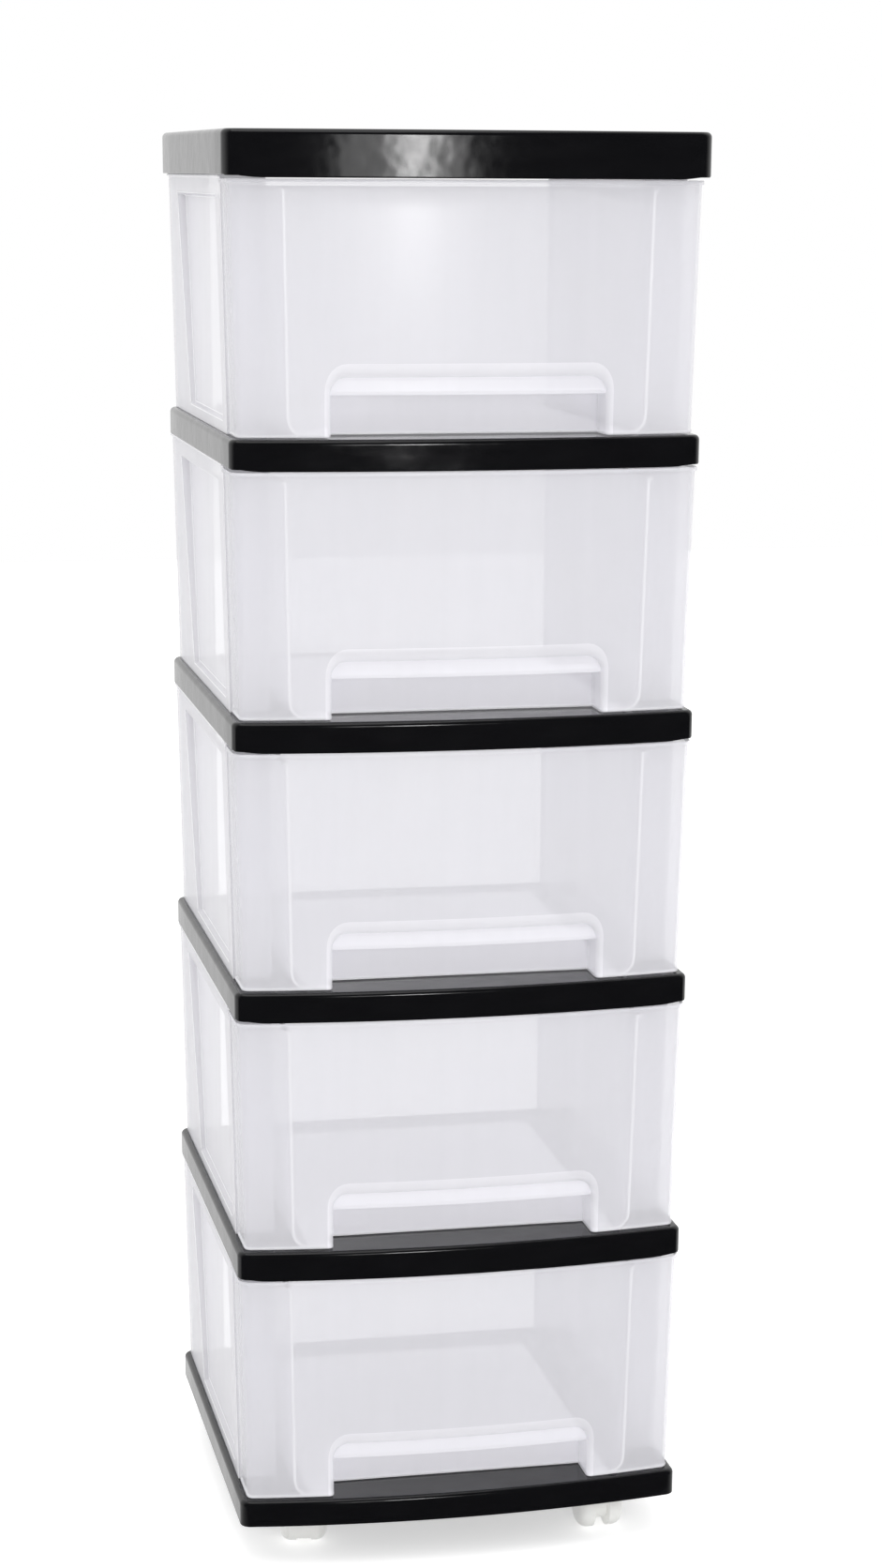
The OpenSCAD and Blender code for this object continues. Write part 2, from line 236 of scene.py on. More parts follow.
def to_mesh(name, bm):
    """A mesh from the sheet, with shared edges welded and all faces turned outward."""
    bmesh.ops.remove_doubles(bm, verts=bm.verts, dist=2e-6)
    bmesh.ops.dissolve_degenerate(bm, edges=bm.edges, dist=1e-7)
    bmesh.ops.recalc_face_normals(bm, faces=bm.faces)
    mesh = bpy.data.meshes.new(name)
    bm.to_mesh(mesh)
    bm.free()
    return mesh


# %% [markdown]
# ## Marks for the finishes
#
# A frosted wall doesn't look the same everywhere: its edges are denser and carry a painted highlight that
# makes them whiter, and a recess gets a painted glow that stands in for light from inside the plastic. The
# material slots of a mesh say which faces are which while it is built. They then become two numbers on
# every face, "rim" and "deep", that the frosted finish reads: "rim" sets the density and the painted
# whitening, and "deep" the strength of the painted glow. Separate materials would do this too, but a mark
# can be weak, as on the arch's rolled edge, which the photograph shows only faintly.

# %% Walls, edges and marks
EDGE_SEGMENTS = 2
EDGE_ANGLE = 40
SHARP_ANGLE = 50
RIM = 1
DEEP = 2
FIELD = 3
ROLLED = 4
FLOOR = 5
# How strongly each slot is marked. The rim mark makes faces denser and paints them whiter, a painted
# highlight; the second table sets the painted glow, an emission that stands in for light inside the
# plastic.
RIM_MARK = {RIM: 1.0, ROLLED: 0.15, FLOOR: 0.8}
PAINTED_GLOW_MARK = {DEEP: 0.8, FIELD: 0.35, ROLLED: 0.3, FLOOR: 0.65}


def treated(mesh, edge, wall=0):
    """The mesh with its edges rounded and thickness added inward, both in millimetres.

    The new edge faces get the RIM slot. The slots after it hold the faces deep in a recess, a side panel's
    sunk field, an arch's rolled edge and a box's floor.
    """
    for _ in range(FLOOR + 1):
        mesh.materials.append(None)
    holder = bpy.data.objects.new("holder", mesh)
    bpy.context.scene.collection.objects.link(holder)
    if wall:
        solidify = holder.modifiers.new("wall", "SOLIDIFY")
        solidify.thickness = wall * MM
        solidify.offset = -1
        solidify.use_even_offset = True
        solidify.material_offset_rim = RIM
    bevel = holder.modifiers.new("edge", "BEVEL")
    bevel.width = edge * MM
    bevel.segments = EDGE_SEGMENTS
    bevel.limit_method = "ANGLE"
    bevel.angle_limit = math.radians(EDGE_ANGLE)
    bevel.material = RIM
    depsgraph = bpy.context.evaluated_depsgraph_get()
    made = bpy.data.meshes.new_from_object(holder.evaluated_get(depsgraph))
    made.name = mesh.name
    bpy.data.objects.remove(holder)
    return made


def finished(mesh):
    """Smooth shading, and the faces' slots turned into marks."""
    mesh.shade_smooth()
    mesh.set_sharp_from_angle(angle=math.radians(SHARP_ANGLE))
    slots = [face.material_index for face in mesh.polygons]
    # The "deep" mark is the share of the painted glow on each face.
    for name, marks in (("rim", RIM_MARK), ("deep", PAINTED_GLOW_MARK)):
        mark = mesh.attributes.new(name, "FLOAT", "FACE")
        mark.data.foreach_set("value", [marks.get(slot, 0.0) for slot in slots])
    mesh.polygons.foreach_set("material_index", [0] * len(slots))
    return mesh


def merged(name, meshes):
    """One mesh from several."""
    bm = bmesh.new()
    for mesh in meshes:
        bm.from_mesh(mesh)
    made = bpy.data.meshes.new(name)
    bm.to_mesh(made)
    bm.free()
    return made


def piece(name, mesh, body, node, material, lift):
    """An object for the mesh, in place of a CAD node, riding on a body."""
    made = bpy.data.objects.new(name, mesh)
    made.location.z = lift * MM
    bpy.context.scene.collection.objects.link(made)
    made.data.materials.clear()
    made.data.materials.append(material)
    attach(made, body)
    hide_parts(node)


# %% [markdown]
# ## Shader maths
#
# A finish is easier to read as an expression than as a list of nodes. A Wire holds one output socket,
# and each operator on it adds a Math node. Finish adds every other node through one method, which takes
# the node's type, its settings and what goes into its sockets.


# %% Socket wrapper
class Wire:
    """A node's output that can be used in sums."""

    def __init__(self, tree, socket):
        self.tree = tree
        self.socket = socket

    def math(self, operation, *values, clamp=False):
        made = self.tree.nodes.new("ShaderNodeMath")
        made.operation = operation
        made.use_clamp = clamp
        for socket, value in zip(made.inputs, values):
            feed(self.tree, socket, value)
        return Wire(self.tree, made.outputs[0])

    def __add__(self, other):
        return self.math("ADD", self, other)

    def __sub__(self, other):
        return self.math("SUBTRACT", self, other)

    def __rsub__(self, other):
        return self.math("SUBTRACT", other, self)

    def __mul__(self, other):
        return self.math("MULTIPLY", self, other)

    __radd__ = __add__

    def limited(self):
        """The value held between 0 and 1."""
        return self.math("ADD", self, 0.0, clamp=True)


def feed(tree, socket, value):
    """A link for a wire, or a set value for anything else."""
    if isinstance(value, Wire):
        tree.links.new(value.socket, socket)
    else:
        socket.default_value = value


class Finish:
    """A material or a world under construction."""

    def __init__(self, owner):
        owner.use_nodes = True
        self.owner = owner
        self.tree = owner.node_tree
        self.tree.nodes.clear()

    def node(self, kind, settings=None, sockets=None, output=0):
        made = self.tree.nodes.new("ShaderNode" + kind)
        for key, value in (settings or {}).items():
            setattr(made, key, value)
        for key, value in (sockets or {}).items():
            feed(self.tree, made.inputs[key], value)
        return Wire(self.tree, made.outputs[output]) if len(made.outputs) else None

    def place(self):
        return self.node("TexCoord", output="Object")

    def noise(self, scale, detail, stretch=(1, 1, 1)):
        """Clouds that come about this many times in a metre."""
        at = self.node("Mapping", sockets={"Vector": self.place(), "Scale": stretch})
        return self.node("TexNoise", sockets={"Vector": at, "Scale": scale, "Detail": detail})

    def blend(self, factor, first, second):
        """A mix of two colours."""
        colours = {0: factor, 6: first, 7: second}
        return self.node("Mix", {"data_type": "RGBA"}, colours, output=2)

    def bump(self, height, distance, strength, normal=None):
        """A bump of so many metres, on top of another bump's normal where one is given."""
        sockets = {"Height": height, "Distance": distance, "Strength": strength}
        if normal:
            sockets["Normal"] = normal
        return self.node("Bump", sockets=sockets)

    def surface(self, shader):
        self.node("OutputMaterial", sockets={"Surface": shader})
        return self.owner


def new_finish(name):
    return Finish(bpy.data.materials.new(name))


# %% [markdown]
# ## Black plastic
#
# The trays and the lid are glossy black polystyrene. The mould was polished, so the gloss is high, but
# a large flat moulding always sinks a little: slow waves in the surface make the reflections swim. On
# top of these lies a fine grain from the polishing, and the gloss is uneven where hands have touched it.
# The specular level is below its normal 0.5, to darken the lowest deck and the highlight on the lid.


# %% Black plastic
def black_plastic():
    made = new_finish("black_plastic")
    waves = made.noise(36.0, 2.0)
    grain = made.noise(900.0, 2.0)
    wiped = made.noise(35.0, 4.0, stretch=(1, 1, 3))
    sunk = made.bump(waves, 0.0009, 0.4)
    normal = made.bump(grain, 0.00002, 0.25, sunk)
    shader = made.node("BsdfPrincipled", sockets={
        "Base Color": made.blend(wiped, (0.0035, 0.0035, 0.0042, 1), (0.006, 0.006, 0.007, 1)),
        "Roughness": 0.07 + wiped * 0.10,
        "IOR": 1.55,
        "Specular IOR Level": 0.38,
        "Normal": normal,
    })
    return made.surface(shader)


# %% [markdown]
# ## Frosted plastic
#
# The drawers and side panels are milky polypropylene. A wall has two faces, and each lets a share of the
# view through. A drawer's wall shows three tenths of what is behind it and a side panel's a seventh, so
# one face's alpha is 1 less the square root of that. Real refraction would cost much more time and look
# the same on a wall this thin. Faces marked as rims are denser, and their colour is painted whiter, a
# painted highlight for the light that travels inside the wall and leaves there. That light would also
# brighten the recess, where a plain diffuse surface would be too dark, so the plastic has a painted glow:
# an emission that stands in for it, faint everywhere and stronger on faces marked as deep.


# %% Frosted plastic
# Strengths of the painted glow, the emission that stands in for light carried inside the plastic: faint
# everywhere, stronger on faces marked as deep.
PAINTED_GLOW = 0.07
PAINTED_DEEP_GLOW = 0.30
RIM_ALPHA = 0.85


def frosted_plastic(name, colour, alpha, roughness):
    made = new_finish(name)
    cloud = made.noise(14.0, 3.0)
    flow = made.noise(30.0, 3.0, stretch=(3, 3, 0.3))
    grain = made.noise(1400.0, 2.0)
    rim = made.node("Attribute", {"attribute_name": "rim"}, output="Fac")
    deep = made.node("Attribute", {"attribute_name": "deep"}, output="Fac")
    cool = made.blend(cloud, (*colour, 1), (colour[0] * 0.97, colour[1] * 0.975, colour[2] * 0.99, 1))
    seen = rim * (RIM_ALPHA - alpha) + (alpha - 0.03) + cloud * 0.04 + flow * 0.03
    waves = made.bump(flow, 0.0002, 0.12)
    # The painted glow's two emission colours, faint and deep; below them, faces marked as rims are painted
    # whiter, a painted highlight along the edges.
    glow = [(*[c * strength for c in colour], 1) for strength in (PAINTED_GLOW, PAINTED_DEEP_GLOW)]
    shader = made.node("BsdfPrincipled", sockets={
        "Base Color": made.blend(rim, cool, (0.93, 0.93, 0.945, 1)),
        "Emission Color": made.blend(deep, *glow),
        "Emission Strength": 1.0,
        "Roughness": (roughness - 0.04) + cloud * 0.08,
        "IOR": 1.49,
        "Alpha": seen.limited(),
        "Normal": made.bump(grain, 0.00003, 0.3, waves),
    })
    return made.surface(shader)


# %% [markdown]
# ## Caster plastic and steel
#
# The casters are moulded in unpigmented nylon, which is a milky white with a soft gloss. The nylon also
# has a weak painted glow, an emission that brightens it though it is no lamp. Their stems and axles are
# drawn steel, whose grain runs along the pin.


# %% Caster materials
# Strength of the nylon's painted glow.
PAINTED_NYLON_GLOW = 0.12


def nylon(name, gloss):
    made = new_finish(name)
    cloud = made.noise(60.0, 3.0)
    grain = made.noise(1500.0, 2.0)
    shader = made.node("BsdfPrincipled", sockets={
        "Base Color": made.blend(cloud, (0.88, 0.88, 0.855, 1), (0.93, 0.93, 0.91, 1)),
        "Emission Color": (0.93, 0.93, 0.91, 1),
        "Emission Strength": PAINTED_NYLON_GLOW,
        "Roughness": gloss + cloud * 0.12,
        "Normal": made.bump(grain, 0.00003, 0.35),
    })
    return made.surface(shader)


def drawn_steel():
    made = new_finish("drawn_steel")
    grain = made.noise(500.0, 3.0, stretch=(1, 1, 0.05))
    shader = made.node("BsdfPrincipled", sockets={
        "Base Color": made.blend(grain, (0.50, 0.50, 0.51, 1), (0.62, 0.62, 0.63, 1)),
        "Metallic": 1.0,
        "Roughness": 0.24 + grain * 0.2,
        "Normal": made.bump(grain, 0.00002, 0.4),
    })
    return made.surface(shader)


black = black_plastic()
drawer_plastic = frosted_plastic("frosted_drawer", (0.84, 0.832, 0.868), 0.46, 0.17)
panel_plastic = frosted_plastic("frosted_panel", (0.82, 0.812, 0.842), 0.62, 0.24)
hood_plastic = nylon("caster_nylon", 0.30)
wheel_plastic = nylon("wheel_nylon", 0.24)
steel = drawn_steel()
print(len(bpy.data.materials), "materials")

# %% [markdown]
# ## Trays and lid
#
# A tray is a deck with a skirt that hangs down all round. The section starts on the deck, turns over the
# rounded edge, goes down the skirt, and comes back up inside. The skirt hangs a little lower along the
# front, and the hand feels that edge when it slides the drawer shut. Two flat faces close the deck.

# %% Tray shells
WALL = 2.4
EDGE_R = 3.5
DECK_INSET = 6.0
DROP_RAMP = 22.0


def smooth(t):
    """A step from 0 to 1 with soft ends."""
    t = min(max(t, 0.0), 1.0)
    return t * t * (3 - 2 * t)


def shell_section(corner, height):
    """(distance out, z, how much of the drop it takes), from the deck over the edge and back inside.

    A row close to each bend keeps the flat faces flat in smooth shading, and so their reflections straight.
    """
    turn = [math.radians(a) for a in range(90, -1, -10)]
    inside = corner - WALL
    return [
        (corner - DECK_INSET, 0, 0),
        (corner - EDGE_R - 0.5, 0, 0),
        *[(corner - EDGE_R + EDGE_R * math.cos(a), EDGE_R * (math.sin(a) - 1), 0) for a in turn],
        (corner, -EDGE_R - 0.4, 0),
        (corner, 1 - height, 1),
        (corner, 0.5 - height, 1),
        (corner - 0.15, 0.15 - height, 1),
        (corner - 0.5, -height, 1),
        (inside + 0.5, -height, 1),
        (inside, 0.5 - height, 1),
        (inside, -WALL - 1.2, 0),
        (inside - 0.4, -WALL - 0.4, 0),
        (inside - 1.2, -WALL, 0),
        (corner - DECK_INSET, -WALL, 0),
    ]


def shell(bm, line, height, drop=DROP):
    """A deck with its skirt, under z = 0."""
    section = shell_section(line.corner, height)
    rows = []
    for station in line.all_round(CORNER_STEPS):
        front = station[3] < -0.5
        low = drop * smooth((HALF_W - abs(station[0])) / DROP_RAMP) if front else 0
        rows.append([placed(station, out, z - low * share) for out, z, share in section])
    verts = skin(bm, rows, close_rows=True)
    bm.faces.new([row[0] for row in verts])
    bm.faces.new([row[-1] for row in verts])


# %% [markdown]
# ## Guides, sockets and the lid's inner wall
#
# Two low ribs on a tray keep the drawer straight while it slides. The base tray has four tubes under its
# deck that take the casters' stems. Inside the lid's skirt a second wall stands on the side panels. It is
# open at the back corners, where the panels' tongues go up. All of these keep sharp edges: the ribs show
# only where a drawer is out or through its plastic, and the others are hidden.

# %% Guides, base tray and lid
GUIDE_X = 124.0
GUIDE_W = 2.0
GUIDE_H = 3.0
GUIDE_FRONT = FRONT_Y + 63
GUIDE_BACK = BACK_Y - 14


def guides(bm):
    """The two ribs on the deck."""
    for side in SIDES.values():
        xs = sorted((side * GUIDE_X, side * (GUIDE_X + GUIDE_W)))
        bar(bm, (xs[0], GUIDE_FRONT, -1), (xs[1], GUIDE_BACK, GUIDE_H))


def tray_mesh(name):
    bm = bmesh.new()
    shell(bm, tray_line, SKIRT_H)
    guides(bm)
    return to_mesh(name, bm)


BOSS_R = 8.0
BORE_R = 3.05
BOSS_FOOT = 3.0
CASTERS = ["front_left", "front_right", "back_left", "back_right"]


def stem_place(name):
    """Where a caster's stem stands, from its packed box."""
    low, high = box_mm(f"caster_stem_{name}")
    return (low.x + high.x) / 2, (low.y + high.y) / 2


def base_mesh(name):
    """The base tray is a tray with four sockets for the casters' stems."""
    bm = bmesh.new()
    shell(bm, tray_line, SKIRT_H, drop=0)
    guides(bm)
    low, high = BOSS_FOOT - SKIRT_H, -WALL + 0.2
    for caster in CASTERS:
        lathe(bm, stem_place(caster), [(BORE_R, low), (BOSS_R - 0.5, low), (BOSS_R, low + 0.5),
                                       (BOSS_R, high), (BORE_R, high)])
    return to_mesh(name, bm)


SEAT_IN = 3.4
SEAT_T = 2.0
SEAT_GAP = 2.0
SEAT_BACK_X = 126.0
BACK_STEPS = 4


def lid_mesh(name):
    """The lid with its inner wall, in two runs: the sides and front, and the back between the corners."""
    bm = bmesh.new()
    shell(bm, lid_line, LID_H)
    out = lid_line.corner - SEAT_IN
    seat = [(out - SEAT_T, -LID_H), (out, -LID_H), (out, -WALL + 0.2), (out - SEAT_T, -WALL + 0.2)]
    back = straight((SEAT_BACK_X, lid_line.back), (-SEAT_BACK_X, lid_line.back), (0, 1), BACK_STEPS)
    outline = lid_line.all_round(CORNER_STEPS)
    right = [s for s in outline if s[3] < 0.01 and s[0] > 0 and s[1] < lid_line.back - SEAT_GAP]
    right.append((lid_line.x, lid_line.back - SEAT_GAP, 1, 0))
    left = [(-x, y, -nx, ny) for x, y, nx, ny in reversed(right)]
    for stations in (back, left + right):
        verts = skin(bm, [[placed(s, u, z) for u, z in seat] for s in stations], close_columns=True)
        bm.faces.new(verts[0])
        bm.faces.new(verts[-1])
    return to_mesh(name, bm)


tray_skin = finished(tray_mesh("tray"))
base_skin = finished(base_mesh("base_tray"))
lid_skin = finished(lid_mesh("lid"))
for tier in range(1, TIERS):
    piece(f"tray_shell_{tier}", tray_skin, "root", f"tray_{tier}", black, floor_z[tier])
piece("base_shell", base_skin, "root", "base_tray", black, floor_z[TIERS])
piece("lid_shell", lid_skin, "root", "lid", black, lid_high.z)
print("a tray has", len(tray_skin.polygons), "faces")

# %% [markdown]
# ## Side panels
#
# A side panel leans out to its head, wraps round the back corner, and turns in at the front to a flange.
# Its middle is sunk to an upright plane, so the field is deeper at the head, and both upright borders
# slant. This stiffens the panel. The grid's columns follow the slanted borders, so that the step at the
# border stays crisp without a dense mesh. The panel's tongues and hooks are hidden and left out.

# %% Side panel sizes
PANEL_WALL = 2.0
FOOT_OUT = 3.5
HEAD_OUT = 6.5
LIP_T = 1.8
FIELD_OUT = 0.0
FLANGE_SETBACK = 57
FLANGE_Y = FRONT_Y + FLANGE_SETBACK
FLANGE_X = 128.0
FLANGE_INSET = 0.6
FIELD_LOW = 9.0
FIELD_TOP = CLEAR_H - 14
FIELD_FRONT = FLANGE_Y + 17
FIELD_BACK = BACK_Y - 92
FRONT_SLANT = 7
BACK_SLANT = 38
STEP_HALF = 1.1
PANEL_GAP = 0.1


def field_front(z):
    """The y of the field's front border at a height."""
    return FIELD_FRONT + FRONT_SLANT * (z - FIELD_LOW) / (FIELD_TOP - FIELD_LOW)


def field_back(z):
    """The y of the field's back border at a height."""
    return FIELD_BACK + BACK_SLANT * (z - FIELD_LOW) / (FIELD_TOP - FIELD_LOW)


def sunk(y, z):
    """How deep the field is sunk at a spot, from 0 to 1."""
    inward = (y - field_front(z), field_back(z) - y, z - FIELD_LOW, FIELD_TOP - z)
    share = 1.0
    for distance in inward:
        share *= smooth((distance + STEP_HALF) / (2 * STEP_HALF))
    return share


print("the field is", round(FIELD_TOP - FIELD_LOW, 1), "mm high")

# %% [markdown]
# ## The grid of a side panel
#
# The wall is one grid. Its columns stand along the side and round the back corner, and each column runs up
# the outside and down the inside, so the sheet closes by itself. Rows and columns come close together at
# the field's border, where the surface steps inward, and are far apart where it is flat.

# %% Side panel mesh
RAMP = (-STEP_HALF, -0.6, 0, 0.6, STEP_HALF)
CLEAR_OF_STEP = 2
FIELD_COLUMNS = 9
FIELD_ROWS = 8


def panel_columns():
    """Places along the side as functions of height, from the flange to the back corner."""
    front, back = FLANGE_Y, tray_line.back
    margin = CLEAR_OF_STEP
    columns = [lambda z, s=s: front + s * (field_front(z) - margin - front) for s in (0, 0.3, 0.7, 1)]
    columns += [lambda z, r=r: field_front(z) + r for r in RAMP]
    shares = [i / FIELD_COLUMNS for i in range(1, FIELD_COLUMNS)]
    columns += [lambda z, s=s: field_front(z) * (1 - s) + field_back(z) * s for s in shares]
    columns += [lambda z, r=r: field_back(z) + r for r in RAMP]
    shares = (0, 0.35, 0.7, 1)
    columns += [lambda z, s=s: field_back(z) + margin + s * (back - field_back(z) - margin) for s in shares]
    return columns


def panel_rows():
    """(z, extra distance out) up the outside of the wall."""
    low = [PANEL_GAP, 1.5, 4, 6.5] + [FIELD_LOW + r for r in RAMP]
    edge = 2.2
    rise = FIELD_TOP - FIELD_LOW - 2 * edge
    middle = [FIELD_LOW + edge + rise * i / FIELD_ROWS for i in range(FIELD_ROWS + 1)]
    high = [FIELD_TOP + r for r in RAMP] + [CLEAR_H - 9, CLEAR_H - LIP_T - 1.2, CLEAR_H - LIP_T - 0.3]
    rows = [(z, 0.0) for z in low + middle + high]
    lip = TRAY_CORNER - HEAD_OUT
    rows += [(CLEAR_H - LIP_T, 0.4), (CLEAR_H - LIP_T + 0.1, lip - 0.2), (CLEAR_H - LIP_T + 0.4, lip)]
    rows += [(CLEAR_H - 0.5, lip), (CLEAR_H - PANEL_GAP, lip - 0.4)]
    return rows


def panel_out(z):
    """How far out the wall's face stands at a height, outside the field."""
    return FOOT_OUT + (HEAD_OUT - FOOT_OUT) * min(z / (CLEAR_H - LIP_T), 1)


def panel_mesh(name, side):
    """The wall as a grid of columns, outside and inside, from the flange to the back."""
    stations = [(tray_line.x, column, 1, 0) for column in panel_columns()[:-1]]
    stations += arc((tray_line.x, tray_line.back), 0, 0, 90, CORNER_STEPS)
    stations += straight((tray_line.x, tray_line.back), (FLANGE_X, tray_line.back), (0, 1), 3)[1:]
    outside = panel_rows()
    inside = [(z, 0.0) for z, extra in reversed(outside) if extra == 0]
    inside.insert(0, (CLEAR_H - PANEL_GAP, 0.0))
    rows = []
    for x, y, nx, ny in stations:
        column = []
        for wall, part in ((0, outside), (PANEL_WALL, inside)):
            for z, extra in part:
                at = y(z) if callable(y) else y
                dip = (panel_out(z) - FIELD_OUT) * sunk(at, z) if callable(y) else 0
                column.append(placed((x, at, nx, ny), panel_out(z) + extra - wall - dip, z))
        rows.append([(side * px, py, pz) for px, py, pz in column])
    bm = bmesh.new()
    verts = skin(bm, rows, close_columns=True)
    for face in bm.faces:
        middle = face.calc_center_median() / MM
        if abs(middle.x) > tray_line.x - 1 and sunk(middle.y, middle.z) > 0.9:
            # The sunk field gets a share of the painted glow.
            face.material_index = FIELD
    for end in (verts[0], verts[-1]):
        bm.faces.new(end)
    return to_mesh(name, bm)


# %% [markdown]
# ## Flanges and finished panels
#
# The flange is a flat plate that the drawer's front hides from most sides, so a block with leaning ends is
# enough. The left and the right panel are made once each, as mirror images, and every tier shares them.

# %% Panel flanges and pieces
def flange_mesh(name, side):
    """The plate at the panel's front edge that turns in behind the drawer's front."""
    bm = bmesh.new()
    top = CLEAR_H - PANEL_GAP
    foot_x = tray_line.x + FOOT_OUT - FLANGE_INSET
    head_x = tray_line.x + HEAD_OUT - FLANGE_INSET
    corners = [(FLANGE_X, PANEL_GAP), (foot_x, PANEL_GAP), (head_x, top), (FLANGE_X, top)]
    depths = (FLANGE_Y + 0.1, FLANGE_Y + PANEL_WALL)
    verts = skin(bm, [[(side * x, y, z) for x, z in corners] for y in depths], close_columns=True)
    bm.faces.new(verts[0])
    bm.faces.new(verts[1])
    return to_mesh(name, bm)


for side, way in SIDES.items():
    wall = treated(panel_mesh("panel_wall", way), edge=0.35)
    flange = treated(flange_mesh("panel_flange", way), edge=0.5)
    panel_skin = finished(merged(f"side_panel_{side}", [wall, flange]))
    for tier in range(1, TIERS + 1):
        piece(f"panel_{side}_{tier}", panel_skin, "root", f"side_panel_{side}_{tier}",
              panel_plastic, floor_z[tier])
print("a side panel has", len(panel_skin.polygons), "faces")

# %% [markdown]
# ## Drawer fronts
#
# The drawer's front is one sheet that leans back toward its foot, turns round the corners, and has a
# flange along its top and a bead along its foot. An arch in the middle is sunk to a lip, and under the
# lip a pocket goes back for the fingers. Cutting these with booleans would leave ragged shading, so the
# sheet is laid out as patches that meet along the arch: wall, rolled edge, lip, ledge and pocket. The
# front leans and the lip stands upright, so the roll between them is deeper toward the arch's head.

# %% Drawer front sizes
FRONT_WALL = 2.0
LEAN_FOOT = 5.0
LEAN_TOP = 8.5
RIM_T = 3.0
RIM_OUT = 10
BLEND_TO = 56.0
FRONT_TOP = CLEAR_H - DROP - 0.5
WALL_TOP = FRONT_TOP - RIM_T
RETURN_Y = FLANGE_Y - 1.5
ARCH_W = 93.0
ARCH_H = 39.5
ARCH_R = 10.5
ROLL_OUT = 4.5
LIP_Z = 28.0
LIP_SETBACK = 10.5
POCKET_DEPTH = 37
POCKET_Y = FRONT_Y + POCKET_DEPTH
SHOULDER_Z = ARCH_H - ARCH_R
BEAD = [(0.8, -0.45), (1.05, 0.1), (1.7, 0.5), (2.5, 0.55), (3.3, 0.3), (4.0, 0.0)]
LOW_ROWS = BEAD + [(z, 0.0) for z in (8, 14, 20, 25, 28, 28.25, 28.5, 28.75, SHOULDER_Z)]
LIP_ROWS = 4


def lean(z):
    """How far out from the corners' axes the front's face stands at a height."""
    return LEAN_FOOT + (LEAN_TOP - LEAN_FOOT) * min((z - FOOT_GAP) / (WALL_TOP - FOOT_GAP), 1)


def bow_y(x, out):
    """Where the front surface lies at x, for a distance out from the corners' axes."""
    return BOW_Y - math.sqrt((front_line.bow_r + out) ** 2 - x * x)


def on_front(x, z, extra=0.0, depth=0.0):
    """A point on the front's face, or so much out of it or behind it."""
    return (x, bow_y(x, lean(z) + extra) + depth, z)


def lip_y(x):
    """The lip stands upright, at a set distance behind the tray's bow."""
    return BOW_Y - math.sqrt((BOW_R - LIP_SETBACK) ** 2 - x * x)


def roll_out(way):
    """The roll round the arch is twice as wide along its top."""
    return ROLL_OUT * (1 + way[1] ** 2)


print("the arch's shoulder is at", SHOULDER_Z, "mm and the pocket's back wall at y", round(POCKET_Y, 1))

# %% [markdown]
# ## The front beside and above the arch
#
# The wings carry the face from the arch to the corners and back along the sides. Each column is a function
# of height, because the face leans and a column has to follow it. Above the arch the rows start at its
# edge and spread out, until at a set height they are level with those of the wings.

# %% Wings and rows
def wing(side):
    """Columns from the arch's edge to the end of the return, as functions of (z, extra)."""
    start = ARCH_W + ROLL_OUT
    line = front_line

    def along(share):
        def at(z, extra):
            end = (line.bow_r + lean(z) + extra) * math.sin(math.radians(line.turn))
            x, y, _ = on_front(start + share * (end - start), z, extra)
            return (side * x, y, z)
        return at

    def out_of(station):
        def at(z, extra):
            x, y, _ = placed(station, lean(z) + extra, z)
            return (side * x, y, z)
        return at

    corner = arc((line.x, line.front), 0, line.turn - 90, 0, CORNER_STEPS)
    run = straight((line.x, line.front), (line.x, RETURN_Y), (1, 0), 4)
    return [along(i / 8) for i in range(9)] + [out_of(s) for s in corner[1:] + run[1:]]


def upper_rows(bottom):
    """(z, extra) from the arch, or the shoulder level beside it, up to the flange."""
    rows = [(bottom + (BLEND_TO - bottom) * i / 5, 0.0) for i in range(6)]
    rows += [(BLEND_TO + (WALL_TOP - 1.5 - BLEND_TO) * i / 7, 0.0) for i in range(1, 8)]
    lip = RIM_OUT - LEAN_TOP
    rows += [(WALL_TOP - 0.1, 0.2), (WALL_TOP, 0.6), (WALL_TOP + 0.1, lip - 0.2), (WALL_TOP + 0.5, lip)]
    rows += [(FRONT_TOP - 0.6, lip), (FRONT_TOP - 0.1, lip - 0.35)]
    return rows


# %% [markdown]
# ## The arch and its rolled edge
#
# The path goes up one side of the arch, over its top and down the other. At each point the roll is a short
# curve from the face to the lip. A bevel modifier could round the edge too, but it can't be wider along
# the top than at the sides, as this one is in the photograph.

# %% Arch and roll
def arch_path():
    """The arch from its right foot over the top to its left foot: (x, z, way out, bead)."""
    right = [(ARCH_W, z, (1, 0), extra) for z, extra in LOW_ROWS]
    for i in range(1, 9):
        a = math.radians(90 * i / 8)
        c, s = math.cos(a), math.sin(a)
        right.append((ARCH_W - ARCH_R + ARCH_R * c, SHOULDER_Z + ARCH_R * s, (c, s), 0.0))
    flat = ARCH_W - ARCH_R
    top = [(flat - 2 * flat * i / 24, ARCH_H, (0, 1), 0.0) for i in range(1, 24)]
    left = [(-x, z, (-way[0], way[1]), extra) for x, z, way, extra in reversed(right)]
    return right + top + left


# Shares of the roll's width and of its depth, from the front's face to the lip.
ROLL = [(1, 0), (0.84, 0.01), (0.66, 0.04), (0.48, 0.1), (0.32, 0.2), (0.18, 0.34), (0.06, 0.52), (0, 0.72)]
# How many of the roll's rows, from the face inward, get the rolled mark, a faint painted whitening and
# glow; the rest get the recess's stronger painted glow.
BRIGHT_ROLLS = 6


